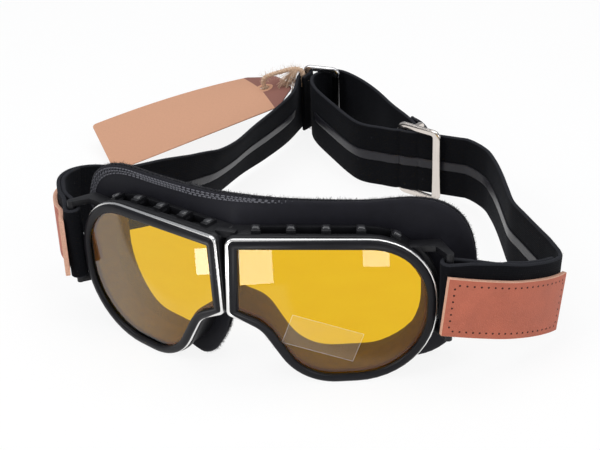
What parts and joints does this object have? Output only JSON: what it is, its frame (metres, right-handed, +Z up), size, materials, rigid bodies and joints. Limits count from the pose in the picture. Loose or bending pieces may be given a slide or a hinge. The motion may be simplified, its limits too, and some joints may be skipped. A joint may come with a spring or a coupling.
{
  "type": "motorcycle goggles",
  "caption": "Vintage motorcycle goggles with flat wrapped lenses in chrome rims, a vented rubber body, padded face seal, elastic strap with slider, leather strap ends and a card tag.",
  "frame": {"origin": "on the surface the goggles stand on, under the front of the nose bridge, in the symmetry plane of the two lens frames", "axes": "+X to the wearer's left (the viewer's right), -Y the way the wearer looks, +Z up"},
  "size_m": [0.2793, 0.2529, 0.074],
  "materials": {
    "bezel_plastic": "satin charcoal",
    "rim_chrome": "bright chrome",
    "yellow_lens": "clear yellow tint",
    "black_rubber": "satin black rubber",
    "pad_cloth": "smooth black coated cloth",
    "plush_lining": "black plush",
    "tan_leather": "smooth reddish tan leather with a pale raw edge",
    "strap_elastic": "black velvety elastic",
    "grey_silicone": "glossy dark grey silicone",
    "buckle_metal": "polished pale metal",
    "kraft_card": "kraft card",
    "jute": "twisted jute string"
  },
  "bodies": {
    "goggles": {"bezel_left": "bezel_plastic", "bezel_right": "bezel_plastic", "chrome_rim_left": "rim_chrome", "chrome_rim_right": "rim_chrome", "lens_left": "yellow_lens", "lens_right": "yellow_lens", "lens_gasket_left": "black_rubber", "lens_gasket_right": "black_rubber", "rubber_body": "black_rubber", "pad_panel": "pad_cloth", "face_cushion": "plush_lining", "strap_lug_left": "black_rubber", "strap_lug_right": "black_rubber", "leather_patch_left": "tan_leather", "leather_patch_right": "tan_leather", "strap_left": "strap_elastic", "strap_right": "strap_elastic", "strap_return": "strap_elastic", "grip_stripe_left": "grey_silicone", "grip_stripe_right": "grey_silicone", "tag_string": "jute"},
    "slider": {"strap_slider": "buckle_metal"},
    "ring": {"strap_ring": "buckle_metal"},
    "tag": {"hang_tag": "kraft_card"}
  },
  "joints": [
    {"name": "strap_adjust", "type": "slide", "parent": "goggles", "child": "slider", "axis": [-0.9976, 0.0698, 0], "range_m": [-0.013, 0.013], "deforming": ["strap_return"]},
    {"name": "ring_swivel", "type": "hinge", "parent": "goggles", "child": "ring", "pos_m": [-0.0535, 0.246, 0.0192], "axis": [0, 0, 1], "range_deg": [-8, 8]},
    {"name": "tag_swing", "type": "hinge", "parent": "goggles", "child": "tag", "pos_m": [-0.0755, 0.2365, 0.028], "axis": [-0.043, -0.2868, 0.957], "range_deg": [-10, 4]}
  ]
}
